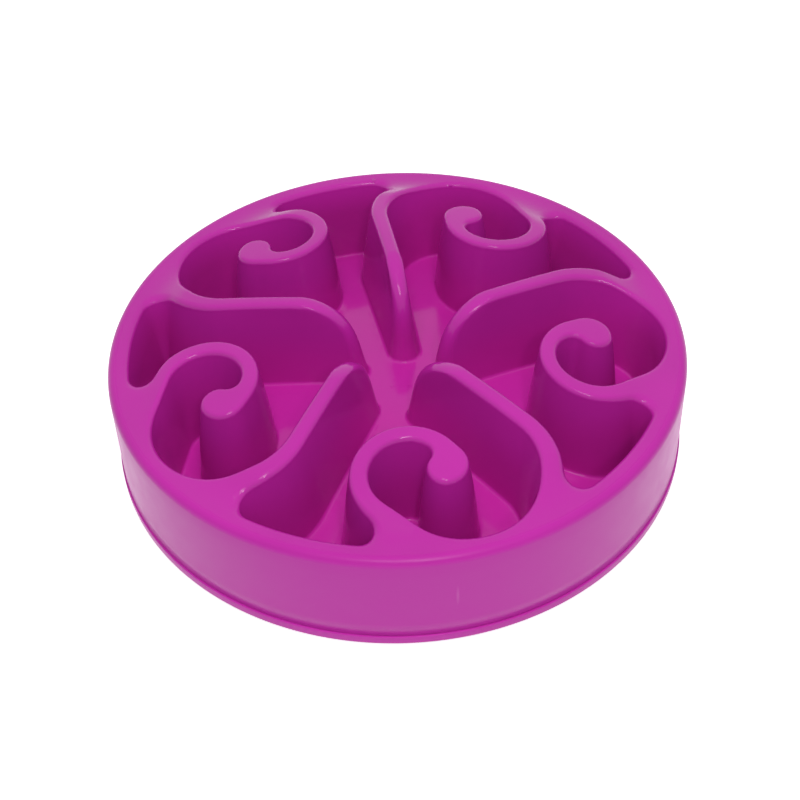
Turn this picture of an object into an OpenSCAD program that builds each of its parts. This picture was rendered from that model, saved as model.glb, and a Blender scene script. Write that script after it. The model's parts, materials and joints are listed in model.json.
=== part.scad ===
/* [Bowl] */
// Radius of the side wall at its widest
bowl_r = 145; // [130:1:170]
// Height of the rim above the underside of the base
rim_h = 56.7; // [54:0.1:70]
// How far the middle of the maze would stand above the rim
crown_h = 17.2; // [10:0.1:22]
// Depth of the pockets below the tops of the walls
pocket_depth = 49.3; // [36:0.1:50]
// Thickness of the moulded plastic
wall = 2.4; // [1.8:0.1:2.6]
// Rounding along the tops of the maze walls
top_round = 3; // [2:0.1:3.2]
// Rounding between the pocket floor and its walls
floor_round = 1.9; // [1:0.1:3]
// How far a pocket wall leans in between its top and the floor
wall_lean = 6.4; // [4:0.1:7]
// Rounding of the outer edge of the rim
rim_round = 2.6; // [1.5:0.1:4]
// How far the foot of a spoke runs towards the middle
nose_run = 20.7; // [14:0.1:24]

/* [Base] */
// How far the lip of the base stands out from the side wall
lip_out = 0.8; // [0.3:0.1:2]
// Height of the lip of the base
lip_h = 5; // [4:0.1:7]
// Thickness of the base plate
plate_t = 2.6; // [2:0.1:3.4]
// Height of the ring that locates the bowl on the base
spigot_h = 7; // [3:0.1:9]
// Gap between the locating ring and the side wall
spigot_gap = 0.2; // [0.1:0.05:0.4]

/* [Feet] */
// Radius of a rubber foot
foot_r = 9; // [7:0.1:12]
// How far a foot stands out below the base
foot_proud = 1.2; // [0.8:0.1:2.5]
// Depth of the recess that holds a foot
foot_sink = 1; // [0.6:0.1:1.4]
// Radius of the stem pressed into the base
stem_r = 3; // [2:0.1:4]
// Length of the stem above the plate
stem_rise = 2.2; // [1:0.1:3]

/* [Hidden] */
$fn = 96;
over = 6;
units = 5;
turn = 360 / units;
magenta = [0.72, 0.10, 0.60];
deep_magenta = [0.66, 0.08, 0.56];
rubber = [0.16, 0.15, 0.17];

// Heights of the base, the rim and the join between bowl and base
base_z = foot_proud;
join_z = base_z + lip_h;
rim_z = base_z + rim_h;

// Centre and radius of each circle that the pocket outline bends round, as shares of bowl_r.
// The outline is a belt of arcs and straight lines round these circles, for one fifth of the bowl.
bend_out_shares = [0.232, -0.659, 0.28];
bend_in_shares = [0.228, -0.644, 0.2085];
nose_shares = [0.184, -0.26, 0.029];
scroll_out_shares = [0.025, -0.692, 0.191];
bulb_right_shares = [0.138, -0.649, 0.078];
bulb_left_shares = [0.138, -0.6685, 0.06];
scroll_back_shares = [0.028, -0.649, 0.087];
scroll_in_shares = [0.025, -0.688, 0.127];
pocket_shares = [0.189, -0.655, 0.248];
// Radius of the outer wall and of the three corner fillets
rim_wall_share = 0.925;
tip_a_share = 0.055;
tip_b_share = 0.048;
notch_share = 0.0365;
// How much of the rounding at the top each of the two pocket tips opens out by
tip_a_open_share = 0.5;
tip_b_open_share = 0.6;
// Least corner radius where leaning walls meet
tip_least = 1.2;
// Direction in which a spoke ends, and how much of the lean its end and a scroll take
nose_dir = -45.2;
nose_lean_share = 0.62;
scroll_lean_share = 0.75;
// Where the dome starts, inside the spoke ends
dome_in_share = 0.2;
// Shape of the domed top: its fall, and the shoulder that meets the flat rim
crown_fall_share = 1;
shoulder_in_share = 0.8;
shoulder_out_share = 0.93;
// Levels of a pocket wall as shares of its height, and of the lean and the run of the spoke there
level_shares = [[0, 0, 0.05], [0.12, 0.17, 0.46], [0.43, 0.55, 0.86], [1, 1, 1]];
// The same for the way out above the dome and the middle of the rounding
exit_run_share = -0.35;
round_run_share = -0.21;
// The levels of the hollow, which stays further back from the spoke ends
hollow_shares = [[0, -0.1, -0.7], [0.12, 0.17, 0.05], [0.43, 0.55, 0.5], [1, 1, 0.9]];
// How far the cutting surface runs past the rounding that it ends with
exit_share = 1.1;
exit_rise_share = 0.085;

function clamp(x, low, high) = min(high, max(low, x));
function spin(p, a) = [p.x * cos(a) - p.y * sin(a), p.x * sin(a) + p.y * cos(a)];
function place(shares) = [shares.x, shares.y] * bowl_r;

// Dome of the maze above the rim, with the shoulder that meets the rim
function dome(r) = crown_h * (1 - crown_fall_share * pow(r / bowl_r, 2));
function ease(x) = x * x * (3 - 2 * x);
function shoulder(r) =
    ease(clamp((r / bowl_r - shoulder_in_share) / (shoulder_out_share - shoulder_in_share), 0, 1));
function top_z(r) = rim_z + dome(r) * (1 - shoulder(r));
function floor_z(r) = rim_z + dome(r) - pocket_depth;

// Centre of a circle that touches two others, from its distance to their centres
function meet(c1, d1, c2, d2, side) =
    let (v = c2 - c1, l = norm(v), a = (d1 * d1 - d2 * d2 + l * l) / (2 * l))
    let (h = sqrt(max(0, d1 * d1 - a * a)), u = v / l)
    c1 + a * u + side * h * [-u.y, u.x];

// The circles of one fifth of the outline: centre, radius, turn, steps, and steps left out
// where the next arc follows without a straight line. Turn 1 bends left round a corner of the
// pocket and turn -1 bends right round a wall. lean draws all walls in, run moves the spoke end.
function circles(lean, run) =
    let (w = function(shares, t, share = 1) shares.z * bowl_r - t * share * lean)
    let (rim_r = rim_wall_share * bowl_r - lean, bo = w(bend_out_shares, -1))
    let (f = scroll_lean_share, so = w(scroll_out_shares, -1, f))
    let (bl = w(bulb_left_shares, -1, f), sb = w(scroll_back_shares, 1, f))
    let (ta = max(tip_a_share * bowl_r - max(lean, tip_a_open_share * lean), tip_least))
    let (tb = max(tip_b_share * bowl_r - max(lean, tip_b_open_share * lean), tip_least))
    let (nt = max(notch_share * bowl_r - f * lean, tip_least))
    let (cbo = spin(place(bend_out_shares), -turn))
    let (tip_a = meet(cbo, bo + ta, [0, 0], rim_r - ta, -1))
    let (tip_b = meet(place(scroll_out_shares), so + tb, [0, 0], rim_r - tb, 1))
    let (notch = meet(place(bulb_left_shares), bl + nt, place(scroll_back_shares), sb - nt, -1))
    [
        [cbo, bo, -1, 5, 1],
        [tip_a, ta, 1, 3, 1],
        [[0, 0], rim_r, 1, 5, 1],
        [tip_b, tb, 1, 3, 1],
        [place(scroll_out_shares), so, -1, 10, 0],
        [place(bulb_right_shares), w(bulb_right_shares, -1, f), -1, 2, 0],
        [place(bulb_left_shares), bl, -1, 4, 1],
        [notch, nt, 1, 3, 1],
        [place(scroll_back_shares), sb, 1, 2, 1],
        [place(scroll_in_shares), w(scroll_in_shares, 1, f), 1, 6, 0],
        [place(pocket_shares), w(pocket_shares, 1), 1, 7, 0],
        [place(bend_in_shares), w(bend_in_shares, 1), 1, 2, 0],
        [place(nose_shares) - run * [cos(nose_dir), sin(nose_dir)],
            w(nose_shares, -1, nose_lean_share), -1, 4, 0]
    ];
function all_circles(lean, run) =
    [for (k = [0:units - 1]) for (c = circles(lean, run))
        [spin(c[0], turn * k), c[1], c[2], c[3], c[4]]];

// Heading of the straight line from one circle to the next
function heading(p, q) =
    let (v = q[0] - p[0], k = clamp((p[2] * p[1] - q[2] * q[1]) / norm(v), -1, 1))
    atan2(v.y, v.x) + asin(k);
function sweep(h0, h1, t) = let (x = (h1 - h0) * t) x - 360 * floor((x + 60) / 360);

// The closed outline at one level, moved out by grow
function outline(lean, run, grow) =
    let (c = all_circles(lean, run), n = len(c))
    let (h = [for (i = [0:n - 1]) heading(c[i], c[(i + 1) % n])])
    [for (i = [0:n - 1])
        let (t = c[i][2], s = sweep(h[(i + n - 1) % n], h[i], t))
        for (j = [0:c[i][3] - c[i][4]])
            let (a = h[(i + n - 1) % n] + t * s * j / c[i][3])
            c[i][0] + (t * c[i][1] + grow) * [sin(a), -cos(a)]];

function lift(points, zs) = [for (i = [0:len(points) - 1]) [points[i].x, points[i].y, zs[i]]];
function flat(points, z) = [for (p = points) [p.x, p.y, z]];

// Rounding of the wall top, from the way out above the dome down to the upright wall
function round_ring(a) =
    let (p = outline(-top_round * (1 - cos(a)), round_run_share * nose_run, 0))
    lift(p, [for (q = p) top_z(norm(q)) - top_round * (1 - sin(a))]);
function exit_ring() =
    let (p = outline(-exit_share * top_round, exit_run_share * nose_run, 0))
    lift(p, [for (q = p) top_z(norm(q)) + exit_rise_share * top_round]);
function wall_ring(s, grow, low) =
    let (p = outline(wall_lean * s[1], nose_run * s[2], grow))
    lift(p, [for (q = p) (top_z(norm(q)) - top_round) * (1 - s[0]) + (floor_z(norm(q)) + low) * s[0]]);
function fillet_ring(share, rise) =
    let (p = outline(wall_lean + share * floor_round, nose_run, 0))
    lift(p, [for (q = p) floor_z(norm(q)) + rise * floor_round]);

// A closed solid through rings that have the same number of points
module loft(rings) {
    n = len(rings[0]);
    m = len(rings);
    sides = [for (j = [0:m - 2]) for (i = [0:n - 1])
        let (a = j * n + i, b = j * n + (i + 1) % n)
        each [[a, b, b + n], [a, b + n, a + n]]];
    first = [for (i = [n - 1:-1:0]) i];
    last = [for (i = [0:n - 1]) (m - 1) * n + i];
    polyhedron([for (r = rings) each r], concat([first], sides, [last]), convexity = 12);
}

// Everything above the pocket floor, or above a surface that far below it
module above_floor(below, r) {
    steps = 9;
    rotate_extrude()
        polygon(concat(
            [for (i = [0:steps]) [r * i / steps, floor_z(r * i / steps) - below]],
            [[r, rim_z + crown_h + over], [0, rim_z + crown_h + over]]));
}

// The pockets as one continuous channel round the five spokes and scrolls
module pockets() {
    intersection() {
        loft([
            flat(exit_ring(), rim_z + crown_h + 2 * over),
            exit_ring(),
            round_ring(45),
            each [for (s = level_shares) wall_ring(s, 0, floor_round)],
            fillet_ring(0.3, 0.3),
            fillet_ring(exit_share, -exit_rise_share),
            flat(fillet_ring(exit_share, -exit_rise_share), join_z - over)]);
        above_floor(0, bowl_r);
    }
}

// The pockets with the thickness of the plastic round them
module pockets_with_wall() {
    intersection() {
        loft([
            flat(wall_ring(hollow_shares[0], wall, 0), rim_z + crown_h + 2 * over),
            wall_ring(hollow_shares[1], wall, 0),
            wall_ring(hollow_shares[2], wall, 0),
            wall_ring(hollow_shares[3], wall, 0),
            flat(wall_ring(hollow_shares[3], wall, 0), join_z - over)]);
        above_floor(wall, bowl_r);
    }
}

// Top profile from the first radius to the inner edge of the rim, lowered by below
function top_points(r0, r1, steps, below) =
    [for (i = [0:steps]) let (r = r0 + (r1 - r0) * i / steps) [r, top_z(r) - below]];

// The space inside the side wall and below the tops of the walls
module shell_hollow() {
    foot_in = bowl_r + lip_out / 2 - lip_out - wall;
    rim_in = shoulder_out_share * bowl_r - wall;
    start_r = dome_in_share * bowl_r;
    rotate_extrude()
        polygon(concat(
            [[0, join_z - over], [foot_in, join_z - over], [foot_in, join_z + over / 2],
                [bowl_r - wall - lip_out, rim_z - wall - rim_round], [bowl_r - wall - rim_round, rim_z - wall]],
            top_points(rim_in, start_r, 8, wall + top_round / 3),
            [[0, top_z(start_r) - wall - top_round / 3]]));
}

module bowl_shell() {
    skirt_r = bowl_r + lip_out / 2;
    start_r = dome_in_share * bowl_r;
    rim_in = shoulder_out_share * bowl_r;
    gap = lip_out;
    color(magenta)
    difference() {
        rotate_extrude()
            polygon(concat(
                [[0, join_z], [skirt_r - gap, join_z], [skirt_r, join_z + gap]],
                [for (a = [0:18:90]) [bowl_r - rim_round * (1 - cos(a)), rim_z - rim_round * (1 - sin(a))]],
                top_points(rim_in, start_r, 16, 0),
                [[0, top_z(start_r)]]));
        pockets();
        difference() {
            shell_hollow();
            pockets_with_wall();
        }
    }
}

// Places of the feet: one under each spoke
foot_ring_share = 0.8;
foot_turn = -18;
function foot_angle(i) = foot_turn + turn * i;

module at_foot(i) {
    rotate([0, 0, foot_angle(i)]) translate([foot_ring_share * bowl_r, 0, 0]) children();
}

module base_plate() {
    outer = bowl_r + lip_out / 2 + lip_out;
    inner = bowl_r + lip_out / 2 - wall - lip_out - spigot_gap;
    edge = lip_out;
    boss_h = foot_sink;
    color(deep_magenta)
    difference() {
        union() {
            rotate_extrude()
                polygon([
                    [0, base_z], [outer - edge, base_z], [outer, base_z + edge], [outer, join_z - edge / 2],
                    [outer - edge / 2, join_z], [inner, join_z], [inner, join_z + spigot_h],
                    [inner - wall, join_z + spigot_h], [inner - wall, base_z + plate_t], [0, base_z + plate_t]]);
            for (i = [1:units])
                at_foot(i) translate([0, 0, base_z]) cylinder(r = foot_r + wall, h = plate_t + boss_h);
        }
        for (i = [1:units])
            at_foot(i) {
                translate([0, 0, base_z - over]) cylinder(r = foot_r, h = over + foot_sink);
                translate([0, 0, base_z - over]) cylinder(r = stem_r, h = 2 * over + plate_t + boss_h);
            }
    }
}

module foot(i) {
    stem_top = plate_t + foot_sink + stem_rise;
    edge = foot_proud / 2;
    color(rubber)
    at_foot(i)
        rotate_extrude()
            polygon([
                [0, 0], [foot_r - edge, 0], [foot_r, edge], [foot_r, base_z + foot_sink],
                [stem_r, base_z + foot_sink], [stem_r, base_z + stem_top], [0, base_z + stem_top]]);
}

bowl_shell();
base_plate();
foot(1);  // foot_1
foot(2);  // foot_2
foot(3);  // foot_3
foot(4);  // foot_4
foot(5);  // foot_5
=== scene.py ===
# %% [markdown]
# # A slow feeder bowl
# The bowl is one thin plastic moulding with five curved walls and five scrolls, on a lipped base with
# rubber feet. We load the imported part first. It is the fixed frame that every piece here has to fit,
# and its box is kept.

# %% Load the imported part
import bpy
import bmesh
import json
import math
import numpy as np
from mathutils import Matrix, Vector

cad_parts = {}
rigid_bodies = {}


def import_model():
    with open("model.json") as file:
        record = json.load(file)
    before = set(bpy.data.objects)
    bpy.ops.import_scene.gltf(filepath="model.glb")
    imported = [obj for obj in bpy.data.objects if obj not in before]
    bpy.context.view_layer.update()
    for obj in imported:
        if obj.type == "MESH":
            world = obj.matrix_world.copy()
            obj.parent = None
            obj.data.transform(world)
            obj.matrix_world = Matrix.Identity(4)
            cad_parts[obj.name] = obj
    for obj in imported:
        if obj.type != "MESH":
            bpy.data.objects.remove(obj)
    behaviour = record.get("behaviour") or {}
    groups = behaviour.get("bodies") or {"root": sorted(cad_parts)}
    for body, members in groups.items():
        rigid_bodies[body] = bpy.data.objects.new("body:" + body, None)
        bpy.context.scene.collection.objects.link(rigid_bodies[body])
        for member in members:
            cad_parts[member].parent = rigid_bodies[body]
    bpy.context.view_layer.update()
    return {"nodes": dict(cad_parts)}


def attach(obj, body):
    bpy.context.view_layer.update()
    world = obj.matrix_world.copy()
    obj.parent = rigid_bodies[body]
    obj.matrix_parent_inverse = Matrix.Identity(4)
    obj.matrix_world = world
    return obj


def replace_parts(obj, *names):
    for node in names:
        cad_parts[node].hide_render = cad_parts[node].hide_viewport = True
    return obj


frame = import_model()
print("packed nodes:", sorted(frame["nodes"]))

# %% [markdown]
# ## Sizes
# The sizes are the solid part's, in metres, apart from four small roundings that follow the look of the
# real bowl more closely: the rim, the tops of the walls, the shoulder of the dome and the groove under
# the side wall. Heights are measured from the surface that the bowl stands on, so the base starts a
# little above zero, because the feet stand out below it.

# %% Sizes of the moulding
MM = 0.001
BOWL_R = 145 * MM
BASE_Z = 1.2 * MM
LIP_H = 5 * MM
RIM_H = 56.7 * MM
JOIN_Z = BASE_Z + LIP_H
RIM_Z = BASE_Z + RIM_H
CROWN_H = 17.2 * MM
POCKET_DEPTH = 49.3 * MM
WALL = 2.4 * MM
TOP_ROUND = 3.2 * MM
FLOOR_ROUND = 1.9 * MM
WALL_LEAN = 6.4 * MM
RIM_ROUND = 4.2 * MM
LIP_OUT = 0.8 * MM
GROOVE = 0.35 * MM
TIP_LEAST = 1.2 * MM
SPOKES = 5
TURN = math.tau / SPOKES
print("bowl across the lip:", round(2000 * (BOWL_R + 1.5 * LIP_OUT), 1), "mm")

# %% [markdown]
# ## The dome
# The tops of the maze walls don't lie in a plane. They rise towards the middle in a shallow dome, and
# the pocket floor follows it at a constant depth. Near the rim the dome bends down over a shoulder to
# meet the flat rim.

# %% Height of the wall tops and of the floor
SHOULDER = (0.775, 0.945)


def dome(r):
    return CROWN_H * (1 - (r / BOWL_R) ** 2)


def shoulder(r):
    x = min(1.0, max(0.0, (r / BOWL_R - SHOULDER[0]) / (SHOULDER[1] - SHOULDER[0])))
    return x * x * (3 - 2 * x)


def top_z(r):
    return RIM_Z + dome(r) * (1 - shoulder(r))


def floor_z(r):
    return RIM_Z + dome(r) - POCKET_DEPTH


print("top of the spokes:", round(1000 * top_z(0.35 * BOWL_R), 1), "mm")

# %% [markdown]
# ## The outline of the pockets
# Seen from above, all the pockets are one channel with one closed outline. It is drawn the way a belt
# runs round pulleys: arcs round a few circles, and straight lines between them. A circle that the belt
# passes with a left turn is a corner of the pocket, and one that it passes with a right turn is a wall.
# To move the outline in or out, only the radii change, so the same rule gives every level of the
# leaning walls.

# %% The circles of one fifth of the outline
CIRCLES = {
    "bend_out": (0.232, -0.659, 0.28),
    "bend_in": (0.228, -0.644, 0.2085),
    "nose": (0.184, -0.26, 0.029),
    "scroll_out": (0.025, -0.692, 0.191),
    "bulb_right": (0.138, -0.649, 0.078),
    "bulb_left": (0.138, -0.6685, 0.06),
    "scroll_back": (0.028, -0.649, 0.087),
    "scroll_in": (0.025, -0.688, 0.127),
    "pocket": (0.189, -0.655, 0.248),
}
RIM_WALL = 0.925
TIP_A, TIP_B, NOTCH = 0.055, 0.048, 0.0365
TIP_A_OPEN, TIP_B_OPEN = 0.5, 0.6
SPOKE_DIR = math.radians(-45.2)
NOSE_SPREAD = 0.0303
SCROLL_LEAN = 0.75


def spin_point(p, a):
    return np.array([p[0] * math.cos(a) - p[1] * math.sin(a), p[0] * math.sin(a) + p[1] * math.cos(a)])


def nose_radius(lean, depth):
    """A spoke's end narrows with its rounded crest and widens towards its foot; depth runs from 0 to 1."""
    return (CIRCLES["nose"][2] + NOSE_SPREAD * depth ** 2) * BOWL_R + min(lean, 0.0)


def touching(c1, d1, c2, d2, side):
    """Centre of a circle at distance d1 from one centre and d2 from the other."""
    v = c2 - c1
    gap = np.hypot(*v)
    along = (d1 * d1 - d2 * d2 + gap * gap) / (2 * gap)
    across = math.sqrt(max(0.0, d1 * d1 - along * along))
    u = v / gap
    return c1 + along * u + side * across * np.array([-u[1], u[0]])


def circles_of_one_fifth(lean, run, nose):
    """Centre, radius, turn, number of steps, and 1 where the next arc follows without a straight line."""
    at = {name: np.array(c[:2]) * BOWL_R for name, c in CIRCLES.items()}

    def radius(name, turn, share=1.0):
        return CIRCLES[name][2] * BOWL_R - turn * share * lean

    rim = RIM_WALL * BOWL_R - lean
    bend, scroll = radius("bend_out", -1), radius("scroll_out", -1, SCROLL_LEAN)
    bulb, back = radius("bulb_left", -1, SCROLL_LEAN), radius("scroll_back", 1, SCROLL_LEAN)
    tip_a = max(TIP_A * BOWL_R - max(lean, TIP_A_OPEN * lean), TIP_LEAST)
    tip_b = max(TIP_B * BOWL_R - max(lean, TIP_B_OPEN * lean), TIP_LEAST)
    notch = max(NOTCH * BOWL_R - SCROLL_LEAN * lean, TIP_LEAST)
    middle = np.zeros(2)
    bend_at = spin_point(at["bend_out"], -TURN)
    tip_a_at = touching(bend_at, bend + tip_a, middle, rim - tip_a, -1)
    tip_b_at = touching(at["scroll_out"], scroll + tip_b, middle, rim - tip_b, 1)
    notch_at = touching(at["bulb_left"], bulb + notch, at["scroll_back"], back - notch, -1)
    nose_at = at["nose"] - run * np.array([math.cos(SPOKE_DIR), math.sin(SPOKE_DIR)])
    return [
        (bend_at, bend, -1, 14, 1),
        (tip_a_at, tip_a, 1, 7, 1),
        (middle, rim, 1, 14, 1),
        (tip_b_at, tip_b, 1, 7, 1),
        (at["scroll_out"], scroll, -1, 30, 0),
        (at["bulb_right"], radius("bulb_right", -1, SCROLL_LEAN), -1, 8, 0),
        (at["bulb_left"], bulb, -1, 12, 1),
        (notch_at, notch, 1, 8, 1),
        (at["scroll_back"], back, 1, 6, 1),
        (at["scroll_in"], radius("scroll_in", 1, SCROLL_LEAN), 1, 18, 0),
        (at["pocket"], radius("pocket", 1), 1, 24, 0),
        (at["bend_in"], radius("bend_in", 1), 1, 6, 0),
        (nose_at, nose, -1, 14, 0),
    ]


# %% Run the belt round the circles
def heading(p, q):
    v = q[0] - p[0]
    k = (p[2] * p[1] - q[2] * q[1]) / np.hypot(*v)
    return math.atan2(v[1], v[0]) + math.asin(min(1.0, max(-1.0, k)))


LINE_STEPS = 6


def outline(lean, run, nose):
    """Points of the closed outline, with extra ones along the straight lines."""
    fifth = circles_of_one_fifth(lean, run, nose)
    belt = [(spin_point(c, TURN * k), r, t, n, s) for k in range(SPOKES) for c, r, t, n, s in fifth]
    count = len(belt)
    out_of = [heading(belt[i], belt[(i + 1) % count]) for i in range(count)]
    arcs = []
    for i, (centre, r, t, n, joined) in enumerate(belt):
        start = out_of[i - 1]
        swept = (out_of[i] - start) * t
        swept -= math.tau * math.floor((swept + math.pi / 3) / math.tau)
        angles = [start + t * swept * j / n for j in range(n + 1 - joined)]
        arcs.append([centre + t * r * np.array([math.sin(a), -math.cos(a)]) for a in angles])
    points = []
    for i, arc in enumerate(arcs):
        points += arc
        if not belt[i][4]:
            a, b = arc[-1], arcs[(i + 1) % count][0]
            points += [a + (b - a) * j / LINE_STEPS for j in range(1, LINE_STEPS)]
    return points


print("points in the outline:", len(outline(0, 0, nose_radius(0, 0))))

# %% [markdown]
# ## The pocket walls
# A moulded wall has a round top, a slight lean and a small fillet at its foot. Each of these is a list
# of levels: how far the outline moves in, how far the end of each spoke runs towards the middle, and
# the height. A spoke doesn't end in a cliff. Its crest bends down like a bent tube, then falls steeply,
# and spreads into a foot near the floor, so its tip follows a curve of its own.

# %% Levels from the top of the walls down to the floor
ROUND_STEPS, WALL_STEPS, FOOT_STEPS = 9, 18, 5
CREST_TIP = 52 * MM
TIP_REACH, TIP_BEND = 34 * MM, 10 * MM
TIP_FOOT = 2.2 * MM
TIP_CURVE, TIP_FOOT_CURVE = 0.78, 6
LEAN_CURVE, LEVEL_CURVE = 1.4, 1.6
nose_r = math.hypot(*CIRCLES["nose"][:2]) * BOWL_R


def tip_radius(drop):
    """Distance from the middle to the tip of a spoke, from the drop below its crest."""
    bent = 1 - math.exp(-(drop / TIP_BEND) ** TIP_CURVE)
    return CREST_TIP - TIP_REACH * bent - TIP_FOOT * min(1.0, drop / POCKET_DEPTH) ** TIP_FOOT_CURVE


def spoke_end(lean, drop):
    """How far the end of a spoke runs in from where its circle is written, and its radius there."""
    nose = nose_radius(lean, min(1.0, drop / POCKET_DEPTH))
    return nose_r - nose - tip_radius(drop), nose


def wall_lean(s):
    return WALL_LEAN * (1 - (1 - s) ** LEAN_CURVE)


def pocket_levels():
    """Rows of lean, run, nose radius, and a function: height from the distance to the middle."""
    rows = []
    for i in range(ROUND_STEPS + 1):
        a = math.pi / 2 * (1 - i / ROUND_STEPS)
        drop = TOP_ROUND * (1 - math.sin(a))
        lean = -TOP_ROUND * (1 - math.cos(a))
        rows.append((lean, *spoke_end(lean, drop), lambda r, d=drop: top_z(r) - d))
    wall_h = POCKET_DEPTH - TOP_ROUND - FLOOR_ROUND
    for i in range(1, WALL_STEPS + 1):
        s = (i / WALL_STEPS) ** LEVEL_CURVE
        lean = wall_lean(s)
        rows.append((lean, *spoke_end(lean, TOP_ROUND + wall_h * s), lambda r, s=s:
                     (top_z(r) - TOP_ROUND) * (1 - s) + (floor_z(r) + FLOOR_ROUND) * s))
    run, nose = rows[-1][1:3]
    for i in range(1, FOOT_STEPS + 1):
        a = math.pi / 2 * i / FOOT_STEPS
        spread = FLOOR_ROUND * (1 - math.cos(a))
        rows.append((WALL_LEAN + spread, run, nose + spread, lambda r, a=a:
                     floor_z(r) + FLOOR_ROUND * (1 - math.sin(a))))
    return rows


levels = pocket_levels()
print("levels:", len(levels))

# %% [markdown]
# ## The bowl's moulding
# The walls grow from one ring of edges: we extrude it and move the new ring to the next level, again
# and again. The outer side is a profile that is spun round the middle. Two fills then close the shape,
# one between the pockets and the rim and one for the floor. Both are cut finer and laid on the dome, so
# that they curve as the real ones do.

# %% Helpers for rings and domed fills
FLOOR_CELL, TOP_CELL = 5 * MM, 5 * MM
FILL_ROUNDS = 6


def ring_points(lean, run, nose, height):
    return [Vector((p[0], p[1], height(float(np.hypot(*p))))) for p in outline(lean, run, nose)]


def add_ring(bm, points):
    verts = [bm.verts.new(p) for p in points]
    return verts, [bm.edges.new((verts[i - 1], verts[i])) for i in range(len(verts))]


def extrude_to(bm, edges, verts, points):
    """Extrudes a ring of edges and moves its copy to new points, in the same order."""
    made = bmesh.ops.extrude_edge_only(bm, edges=edges)["geom"]
    new_edges = [g for g in made if isinstance(g, bmesh.types.BMEdge)]
    fresh = {g for g in made if isinstance(g, bmesh.types.BMVert)}
    new_verts = []
    for v in verts:
        new_verts.append(next(e.other_vert(v) for e in v.link_edges if e.other_vert(v) in fresh))
    for v, p in zip(new_verts, points):
        v.co = p
    return new_verts, new_edges


def domed_fill(bm, edges, height, longest):
    """Fills flat between the edges, cuts long inner edges, and lays the new points on a dome."""
    old = set(bm.verts)
    filled = bmesh.ops.triangle_fill(bm, use_beauty=True, use_dissolve=False, edges=edges, normal=(0, 0, 1))
    faces = {g for g in filled["geom"] if isinstance(g, bmesh.types.BMFace)}
    border = set(edges)
    for _ in range(FILL_ROUNDS):
        inner = {e for f in faces for e in f.edges if e not in border}
        long_ones = [e for e in inner if e.calc_length() > longest]
        if not long_ones:
            break
        before = set(bm.faces)
        bmesh.ops.subdivide_edges(bm, edges=long_ones, cuts=1)
        faces = {f for f in faces if f.is_valid} | (set(bm.faces) - before)
        made = bmesh.ops.triangulate(bm, faces=list(faces))
        faces = set(made["faces"]) | {f for f in faces if f.is_valid}
        inner = [e for e in {e for f in faces for e in f.edges} if e not in border]
        bmesh.ops.beautify_fill(bm, faces=list(faces), edges=inner)
        faces = {f for f in faces if f.is_valid} | (set(bm.faces) - before)
    for v in {v for f in faces for v in f.verts} - old:
        v.co.z = height(math.hypot(v.co.x, v.co.y))
    return faces


def finished(bm, name, body="root"):
    """Makes the object, shades it smooth, and lets it ride on the bowl's one body."""
    bmesh.ops.recalc_face_normals(bm, faces=bm.faces)
    mesh = bpy.data.meshes.new(name)
    bm.to_mesh(mesh)
    bm.free()
    mesh.shade_smooth()
    obj = bpy.data.objects.new(name, mesh)
    bpy.context.scene.collection.objects.link(obj)
    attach(obj, body)
    print(name, len(mesh.polygons), "faces")
    return obj


# %% Pocket walls and floor
bowl = bmesh.new()
verts, edges = add_ring(bowl, ring_points(*levels[0]))
pocket_edge = list(edges)
for level in levels[1:]:
    verts, edges = extrude_to(bowl, edges, verts, ring_points(*level))
floor_faces = domed_fill(bowl, edges, floor_z, FLOOR_CELL)
print("faces on the floor:", len(floor_faces))

# %% Side wall and rim
RIM_STEPS = 8
SPIN_STEPS = 256
SIDE_STEPS = 6
RIM_IN = 0.96 * BOWL_R
RIM_FLAT = 0.966 * BOWL_R
ON_RIM = 1e-5
side_r = BOWL_R + LIP_OUT / 2


def side_profile():
    """From the inner edge of the rim over its rounding and down the side to the chamfer at the foot."""
    points = [(RIM_IN, RIM_Z), (RIM_FLAT, RIM_Z)]
    for i in range(RIM_STEPS + 1):
        a = math.pi / 2 * i / RIM_STEPS
        points.append((BOWL_R - RIM_ROUND * (1 - math.sin(a)), RIM_Z - RIM_ROUND * (1 - math.cos(a))))
    foot = JOIN_Z + GROOVE
    top = RIM_Z - RIM_ROUND
    points += [(BOWL_R + (side_r - BOWL_R) * i / SIDE_STEPS, top + (foot - top) * i / SIDE_STEPS)
               for i in range(1, SIDE_STEPS + 1)]
    points.append((side_r - GROOVE, JOIN_Z))
    return points


def spin_profile(bm, points, steps=SPIN_STEPS):
    verts = [bm.verts.new((r, 0, z)) for r, z in points]
    edges = [bm.edges.new((a, b)) for a, b in zip(verts, verts[1:])]
    bmesh.ops.spin(bm, geom=verts + edges, cent=(0, 0, 0), axis=(0, 0, 1), angle=math.tau, steps=steps,
                   use_merge=True)


spin_profile(bowl, side_profile())
bowl.edges.ensure_lookup_table()
rim_edge = [e for e in bowl.edges if e.is_boundary
            and all(abs(math.hypot(v.co.x, v.co.y) - RIM_IN) < ON_RIM for v in e.verts)]
top_faces = domed_fill(bowl, pocket_edge + rim_edge, top_z, TOP_CELL)
print("faces on top of the walls:", len(top_faces))

# %% [markdown]
# The sheet gets its thickness last. Solidify moves a copy of it inwards, as the inside of a real
# moulding lies one wall thickness behind its outside.

# %% Make the bowl's object and give it thickness
shell = finished(bowl, "feeder_bowl")
thickness = shell.modifiers.new("wall", "SOLIDIFY")
thickness.thickness = WALL
thickness.offset = -1
with bpy.context.temp_override(object=shell, active_object=shell, selected_objects=[shell]):
    bpy.ops.object.modifier_apply(modifier=thickness.name)
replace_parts(shell, "bowl_shell")
print("bowl with its thickness:", len(shell.data.polygons), "faces")

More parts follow.
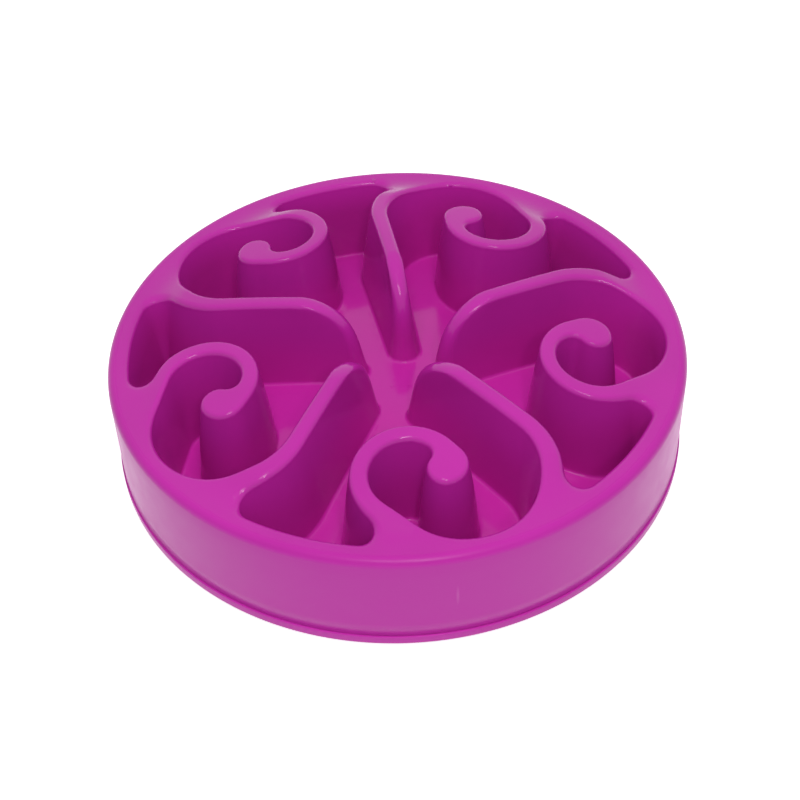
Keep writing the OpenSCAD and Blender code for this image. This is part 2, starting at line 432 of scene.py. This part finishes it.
# %% [markdown]
# ## The base
# The underside is a separate flat plate. Its rim stands out a little below the bowl's side, as a thin
# lip, and a ring inside keeps the two in line. The rounded edges of the lip matter more than its size,
# because they catch the light. The profile is spun, and the underside is filled round five round seats
# for the feet.

# %% Sizes of the base and the feet
PLATE = 2.6 * MM
SPIGOT_H = 7 * MM
SPIGOT_GAP = 0.2 * MM
FOOT_R = 9 * MM
FOOT_SINK = 1 * MM
FOOT_RING = 0.8 * BOWL_R
FOOT_TURN = math.radians(-18)
STEM_R = 3 * MM
SEAT_GAP = 0.15 * MM
SOLE_GAP = 0.02 * MM
ROUND_PARTS = 48
SAME_POINT = 1e-6
lip_r = side_r + LIP_OUT
spigot_r = side_r - WALL - LIP_OUT - SPIGOT_GAP
foot_places = [(FOOT_RING * math.cos(FOOT_TURN + TURN * k), FOOT_RING * math.sin(FOOT_TURN + TURN * k))
               for k in range(SPOKES)]
print("feet on a circle of", round(FOOT_RING * 1000, 1), "mm")


# %% Spin the base and fill its underside
def quarter(centre, r, start, steps):
    """Points of a quarter circle in the plane of a profile."""
    return [(centre[0] + r * math.cos(start + math.pi / 2 * i / steps),
             centre[1] + r * math.sin(start + math.pi / 2 * i / steps)) for i in range(steps + 1)]


def base_profile():
    low, high = LIP_OUT, LIP_OUT / 2
    points = quarter((lip_r - low, BASE_Z + low), low, -math.pi / 2, 5)
    points += quarter((lip_r - high, JOIN_Z - high), high, 0, 4)
    points += [(spigot_r, JOIN_Z), (spigot_r, JOIN_Z + SPIGOT_H), (spigot_r - WALL, JOIN_Z + SPIGOT_H),
               (spigot_r - WALL, BASE_Z + PLATE), (0, BASE_Z + PLATE)]
    return points


def circle_edges(bm, place, r, z, steps):
    made = bmesh.ops.create_circle(bm, cap_ends=False, radius=r, segments=steps)["verts"]
    bmesh.ops.translate(bm, verts=made, vec=(place[0], place[1], z))
    return list({e for v in made for e in v.link_edges})


base = bmesh.new()
spin_profile(base, base_profile())
bmesh.ops.remove_doubles(base, verts=base.verts, dist=SAME_POINT)
outer_edges = [e for e in base.edges if e.is_boundary]
seat_edges = []
for place in foot_places:
    ring = circle_edges(base, place, FOOT_R + SEAT_GAP, BASE_Z, ROUND_PARTS)
    up = bmesh.ops.extrude_edge_only(base, edges=ring)["geom"]
    raised = [g for g in up if isinstance(g, bmesh.types.BMVert)]
    bmesh.ops.translate(base, verts=raised, vec=(0, 0, FOOT_SINK))
    bmesh.ops.edgeloop_fill(base, edges=[g for g in up if isinstance(g, bmesh.types.BMEdge)])
    seat_edges += ring
bmesh.ops.triangle_fill(base, use_beauty=True, use_dissolve=False, edges=outer_edges + seat_edges,
                        normal=(0, 0, -1))
base_plate = finished(base, "base_with_lip")
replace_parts(base_plate, "base_plate")

# %% [markdown]
# ## The feet
# Each foot is a soft disc of rubber in a round seat of the base, with a stem that goes through it. Its
# sole has rings, so that it grips. One profile spun round makes the disc and its rings together.

# %% Make the feet
RING_COUNT = 3
RING_DEEP = 0.35 * MM


def foot_profile():
    """From the middle of the sole over its rings and round its edge, to the top of the stem."""
    step = FOOT_R / (RING_COUNT + 1.5)
    points = [(0, RING_DEEP), (0.45 * step, RING_DEEP), (0.6 * step, 0)]
    for i in range(1, RING_COUNT + 1):
        mid = (i + 0.25) * step
        points += [(mid - 0.3 * step, 0), (mid - 0.15 * step, RING_DEEP), (mid + 0.15 * step, RING_DEEP),
                   (mid + 0.3 * step, 0)]
    edge = BASE_Z / 2
    points += quarter((FOOT_R - edge, edge), edge, -math.pi / 2, 4)
    seat = BASE_Z + FOOT_SINK
    points += [(FOOT_R, seat - SOLE_GAP), (STEM_R, seat - SOLE_GAP), (STEM_R, seat + PLATE)]
    points += quarter((STEM_R - MM, seat + PLATE), MM, 0, 3)[1:]
    points.append((0, seat + PLATE + MM))
    return points


for k, place in enumerate(foot_places):
    foot = bmesh.new()
    spin_profile(foot, foot_profile(), ROUND_PARTS)
    bmesh.ops.remove_doubles(foot, verts=foot.verts, dist=SAME_POINT)
    bmesh.ops.translate(foot, verts=foot.verts, vec=(place[0], place[1], 0))
    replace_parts(finished(foot, "rubber_foot_%d" % (k + 1)), "foot_%d" % (k + 1))

# %% [markdown]
# ## Plastics and rubber
# The bowl is one coloured plastic, but its surface isn't the same all over. The maze is polished, and
# the side wall and the outer rim are satin, so masks made from the distance to the middle tell them
# apart. The side wall also gets a lighter, paler copy of the colour, which is painted sheen of the white
# floor. Low in the pockets the colour is painted a little redder, as bounced light, and painted darker
# next to the side wall, as shade. Slow changes of colour and of roughness keep the plastic from looking
# like paint on glass. Two kinds of small marks come last: a pale scuff on the side wall, and three nubs
# from the mould on the far rim.

# %% Helpers for materials
MAGENTA = (0.51, 0.019, 0.36, 1)
# Partly painted light: the lip's plastic, made lighter than the bowl's so that it lifts the lip out of the
# skirt's shade.
LIT_LIP_MAGENTA = (0.62, 0.034, 0.46, 1)
# Painted bounce light: a redder copy of the plastic for low in the pockets.
PAINTED_BOUNCE_MAGENTA = (0.525, 0.018, 0.345, 1)
# Painted shade: a darker copy of the plastic for the outer pockets next to the side wall.
PAINTED_SHADE_MAGENTA = (0.43, 0.015, 0.27, 1)
# Painted sheen: a lighter, paler copy of the plastic's colour for the side wall, which reflects the white
# floor. The base mixes it in too.
SATIN_SHEEN_MAGENTA = (0.58, 0.026, 0.42, 1)
SCUFFED = (0.68, 0.16, 0.54, 1)
SPECULAR = 0.25
PLASTIC_IOR = 1.49
POLISHED, SATIN = (0.10, 0.15), (0.29, 0.35)
SCUFF = (23.3 * MM, -143.5 * MM, 32 * MM)
SCUFF_SIZE, SCUFF_SQUASH, SCUFF_SHARE = 1.0 * MM, 0.13, 0.5
MOULD_MARKS = [
    (34.0 * MM, 129.0 * MM, 57.4 * MM),
    (-6.9 * MM, 130.6 * MM, 57.4 * MM),
    (-9.4 * MM, 135.8 * MM, 57.9 * MM),
]
MARK_SIZE, MARK_HEIGHT = 1.5 * MM, 0.7 * MM


class Finish:
    """A material with one shader, and short ways to add nodes to it."""

    def __init__(self, name):
        self.material = bpy.data.materials.new(name)
        self.material.use_nodes = True
        self.nodes = self.material.node_tree.nodes
        self.links = self.material.node_tree.links
        self.shader = self.nodes["Principled BSDF"]
        self.place = self.node("ShaderNodeTexCoord").outputs["Object"]

    def node(self, kind, **settings):
        made = self.nodes.new(kind)
        for key, value in settings.items():
            setattr(made, key, value)
        return made

    def put(self, socket, value):
        if isinstance(value, bpy.types.NodeSocket):
            self.links.new(value, socket)
        elif value is not None:
            socket.default_value = value

    def math(self, operation, a, b=None):
        made = self.node("ShaderNodeMath", operation=operation)
        self.put(made.inputs[0], a)
        self.put(made.inputs[1], b)
        return made.outputs[0]

    def noise(self, scale, detail=2.0, roughness=0.5):
        made = self.node("ShaderNodeTexNoise")
        self.put(made.inputs["Vector"], self.place)
        made.inputs["Scale"].default_value = scale
        made.inputs["Detail"].default_value = detail
        made.inputs["Roughness"].default_value = roughness
        return made.outputs["Fac"]

    def spread(self, value, low, high, to_low, to_high):
        made = self.node("ShaderNodeMapRange", clamp=True)
        self.put(made.inputs["Value"], value)
        for name, number in zip(("From Min", "From Max", "To Min", "To Max"), (low, high, to_low, to_high)):
            self.put(made.inputs[name], number)
        return made.outputs["Result"]

    def mix(self, share, a, b):
        made = self.node("ShaderNodeMix", data_type="RGBA")
        self.put(made.inputs[0], share)
        self.put(made.inputs[6], a)
        self.put(made.inputs[7], b)
        return made.outputs[2]

    def bump(self, height, strength, distance, under=None):
        made = self.node("ShaderNodeBump")
        self.put(made.inputs["Height"], height)
        self.put(made.inputs["Strength"], strength)
        made.inputs["Distance"].default_value = distance
        if under is not None:
            self.put(made.inputs["Normal"], under)
        return made.outputs["Normal"]

    def spot(self, place, radius, squash=1.0):
        """1 in the middle of a small round mark and 0 from its edge on; a small squash makes it tall."""
        scaled = self.node("ShaderNodeVectorMath", operation="MULTIPLY")
        self.put(scaled.inputs[0], self.place)
        scaled.inputs[1].default_value = (1, 1, squash)
        away = self.node("ShaderNodeVectorMath", operation="DISTANCE")
        self.put(away.inputs[0], scaled.outputs[0])
        away.inputs[1].default_value = (place[0], place[1], place[2] * squash)
        return self.spread(away.outputs["Value"], 0.0, radius, 1.0, 0.0)

    def radius(self):
        split = self.node("ShaderNodeSeparateXYZ")
        self.put(split.inputs[0], self.place)
        x, y = split.outputs[0], split.outputs[1]
        square = self.math("ADD", self.math("MULTIPLY", x, x), self.math("MULTIPLY", y, y))
        return self.math("SQRT", square), split.outputs[2]


# %% Magenta plastic of the bowl
def bowl_plastic():
    f = Finish("moulded_magenta_plastic")
    r, z = f.radius()
    # The side mask lays the lighter copy of the colour on the side wall, as painted sheen.
    side = f.spread(r, 0.993 * BOWL_R, 0.9995 * BOWL_R, 0.0, 1.0)
    outer = f.spread(r, 0.964 * BOWL_R, 0.976 * BOWL_R, 0.0, 1.0)
    cloud = f.spread(f.noise(14.0), 0.35, 0.65, 0.0, 1.0)
    light = tuple(min(1.0, 1.04 * c) for c in MAGENTA[:3]) + (1,)
    dark = tuple(0.96 * c for c in MAGENTA[:3]) + (1,)
    # Painted light: below the wall tops the colour turns to a painted tint of bounced light, and next to the
    # side wall to painted shade.
    painted_depth_share = f.spread(z, 0.70 * RIM_Z, 0.95 * RIM_Z, 1.0, 0.0)
    # Share of the painted shade: 1 in the outer pockets next to the side wall.
    painted_shade_share = f.spread(r, 0.83 * BOWL_R, 0.91 * BOWL_R, 0.0, 1.0)
    maze = f.mix(painted_depth_share, f.mix(cloud, dark, light), f.mix(painted_shade_share, PAINTED_BOUNCE_MAGENTA, PAINTED_SHADE_MAGENTA))
    scuff = f.math("MULTIPLY", f.spot(SCUFF, SCUFF_SIZE, SCUFF_SQUASH), SCUFF_SHARE)
    f.put(f.shader.inputs["Base Color"], f.mix(scuff, f.mix(side, maze, SATIN_SHEEN_MAGENTA), SCUFFED))
    polished = f.spread(f.noise(60.0, 3.0), 0.3, 0.7, *POLISHED)
    satin = f.spread(f.noise(90.0, 3.0), 0.3, 0.7, *SATIN)
    step = f.math("MULTIPLY", f.math("SUBTRACT", satin, polished), outer)
    f.put(f.shader.inputs["Roughness"], f.math("ADD", polished, step))
    ripple = f.bump(f.noise(70.0, 1.0), 0.10, 0.0006)
    nubs = 0.0
    for place in MOULD_MARKS:
        nubs = f.math("ADD", f.spot(place, MARK_SIZE), nubs)
    f.put(f.shader.inputs["Normal"], f.bump(nubs, 1.0, MARK_HEIGHT, ripple))
    f.shader.inputs["IOR"].default_value = PLASTIC_IOR
    f.shader.inputs["Specular IOR Level"].default_value = SPECULAR
    return f.material


shell.data.materials.append(bowl_plastic())


# %% Plastic of the base and rubber of the feet
def base_plastic():
    f = Finish("base_magenta_plastic")
    cloud = f.spread(f.noise(18.0), 0.35, 0.65, 0.0, 1.0)
    # The base mixes two lighter copies of the plastic at random: painted light on the lip and painted sheen.
    f.put(f.shader.inputs["Base Color"], f.mix(cloud, LIT_LIP_MAGENTA, SATIN_SHEEN_MAGENTA))
    f.put(f.shader.inputs["Roughness"], f.spread(f.noise(120.0, 3.0), 0.3, 0.7, *SATIN))
    f.put(f.shader.inputs["Normal"], f.bump(f.noise(1800.0), 0.08, 0.0002))
    f.shader.inputs["IOR"].default_value = PLASTIC_IOR
    f.shader.inputs["Specular IOR Level"].default_value = SPECULAR
    return f.material


def foot_rubber():
    f = Finish("grey_rubber")
    dusty = f.spread(f.noise(400.0, 4.0), 0.45, 0.75, 0.0, 1.0)
    f.put(f.shader.inputs["Base Color"], f.mix(dusty, (0.022, 0.020, 0.023, 1), (0.045, 0.042, 0.046, 1)))
    f.put(f.shader.inputs["Roughness"], f.spread(f.noise(900.0), 0.3, 0.7, 0.6, 0.75))
    f.put(f.shader.inputs["Normal"], f.bump(f.noise(3000.0), 0.2, 0.0002))
    return f.material


base_plate.data.materials.append(base_plastic())
rubber = foot_rubber()
for k in range(SPOKES):
    bpy.data.objects["rubber_foot_%d" % (k + 1)].data.materials.append(rubber)
print("materials:", sorted(m.name for m in bpy.data.materials))

# %% [markdown]
# ## Floor, light and camera
# The bowl stands on a plain white floor before a plain white backdrop, as in a light tent. The floor
# and the world look white to the camera and in reflections by their own colour, so that the lamps don't
# have to burn them out, and the floor still takes the bowl's shadow. Three lamps light it: a large soft
# one in front, a small one that draws the thin highlights, and an overhead one. The overhead lamp is
# left out of reflections, because its mirror image would lie as a pale patch on the front scroll.

# %% Floor
FLOOR_SIZE = 6.0
FLOOR_GLOW = 0.70
floor_mesh = bmesh.new()
bmesh.ops.create_grid(floor_mesh, x_segments=8, y_segments=8, size=FLOOR_SIZE)
floor_data = bpy.data.meshes.new("floor")
floor_mesh.to_mesh(floor_data)
floor_mesh.free()
floor = bpy.data.objects.new("floor", floor_data)
bpy.context.scene.collection.objects.link(floor)

paper = Finish("white_paper_floor")
paper.shader.inputs["Base Color"].default_value = (0.86, 0.86, 0.86, 1)
paper.shader.inputs["Roughness"].default_value = 0.9
paper.shader.inputs["Specular IOR Level"].default_value = 0.0
rays = paper.node("ShaderNodeLightPath")
seen = paper.math("MAXIMUM", rays.outputs["Is Camera Ray"], rays.outputs["Is Glossy Ray"])
seen = paper.math("MAXIMUM", seen, rays.outputs["Is Transmission Ray"])
paper.put(paper.shader.inputs["Emission Strength"], paper.math("MULTIPLY", seen, FLOOR_GLOW))
paper.shader.inputs["Emission Color"].default_value = (1, 1, 1, 1)
floor.data.materials.append(paper.material)
print("floor:", round(2 * max(v.co.x for v in floor_data.vertices), 1), "m across")

# %% World
AMBIENT = 0.33
world = bpy.data.worlds.new("studio")
bpy.context.scene.world = world
world.use_nodes = True
sky = world.node_tree
light_path = sky.nodes.new("ShaderNodeLightPath")
direct = sky.nodes.new("ShaderNodeMath")
direct.operation = "MAXIMUM"
sky.links.new(light_path.outputs["Is Camera Ray"], direct.inputs[0])
mirrored = sky.nodes.new("ShaderNodeMath")
mirrored.operation = "MAXIMUM"
sky.links.new(light_path.outputs["Is Glossy Ray"], mirrored.inputs[0])
sky.links.new(light_path.outputs["Is Transmission Ray"], mirrored.inputs[1])
sky.links.new(mirrored.outputs[0], direct.inputs[1])
level = sky.nodes.new("ShaderNodeMapRange")
sky.links.new(direct.outputs[0], level.inputs["Value"])
level.inputs["To Min"].default_value = AMBIENT
level.inputs["To Max"].default_value = 1.0
sky.links.new(level.outputs["Result"], sky.nodes["Background"].inputs["Strength"])
sky.nodes["Background"].inputs["Color"].default_value = (1, 1, 1, 1)
print("ambient light:", AMBIENT)


# %% Lamps
def softbox(name, azimuth, elevation, distance, size, power):
    """A square lamp that looks at the middle of the bowl."""
    data = bpy.data.lights.new(name, "AREA")
    data.shape = "SQUARE"
    data.size = size
    data.energy = power
    lamp = bpy.data.objects.new(name, data)
    a, e = math.radians(azimuth), math.radians(elevation)
    aim = Vector((0, 0, RIM_Z))
    towards = Vector((math.cos(a) * math.cos(e), math.sin(a) * math.cos(e), math.sin(e)))
    lamp.location = aim + distance * towards
    lamp.rotation_euler = (aim - lamp.location).to_track_quat("-Z", "Y").to_euler()
    bpy.context.scene.collection.objects.link(lamp)
    return lamp


softbox("key_softbox", -88, 56, 1.2, 0.36, 2.4)
softbox("small_lamp", -80, 44, 1.2, 0.1, 1.1)
top_softbox = softbox("top_softbox", -90, 82, 1.0, 0.45, 5.2)
top_softbox.visible_glossy = False

# %% Camera
CAMERA_AT = (0.6958 * MM, -551.6916 * MM, RIM_Z + 496.0474 * MM)
CAMERA_TURN = (45.64982, 1.53505, -1.50010)
camera_data = bpy.data.cameras.new("camera")
camera_data.sensor_width = 36
camera_data.lens = 66.287
camera = bpy.data.objects.new("camera", camera_data)
camera.location = CAMERA_AT
camera.rotation_euler = [math.radians(a) for a in CAMERA_TURN]
bpy.context.scene.collection.objects.link(camera)
bpy.context.scene.camera = camera
bpy.context.scene.view_settings.view_transform = "Standard"
print("lens:", round(camera_data.lens, 1), "mm, camera", round(camera.location.length, 3), "m from the bowl")
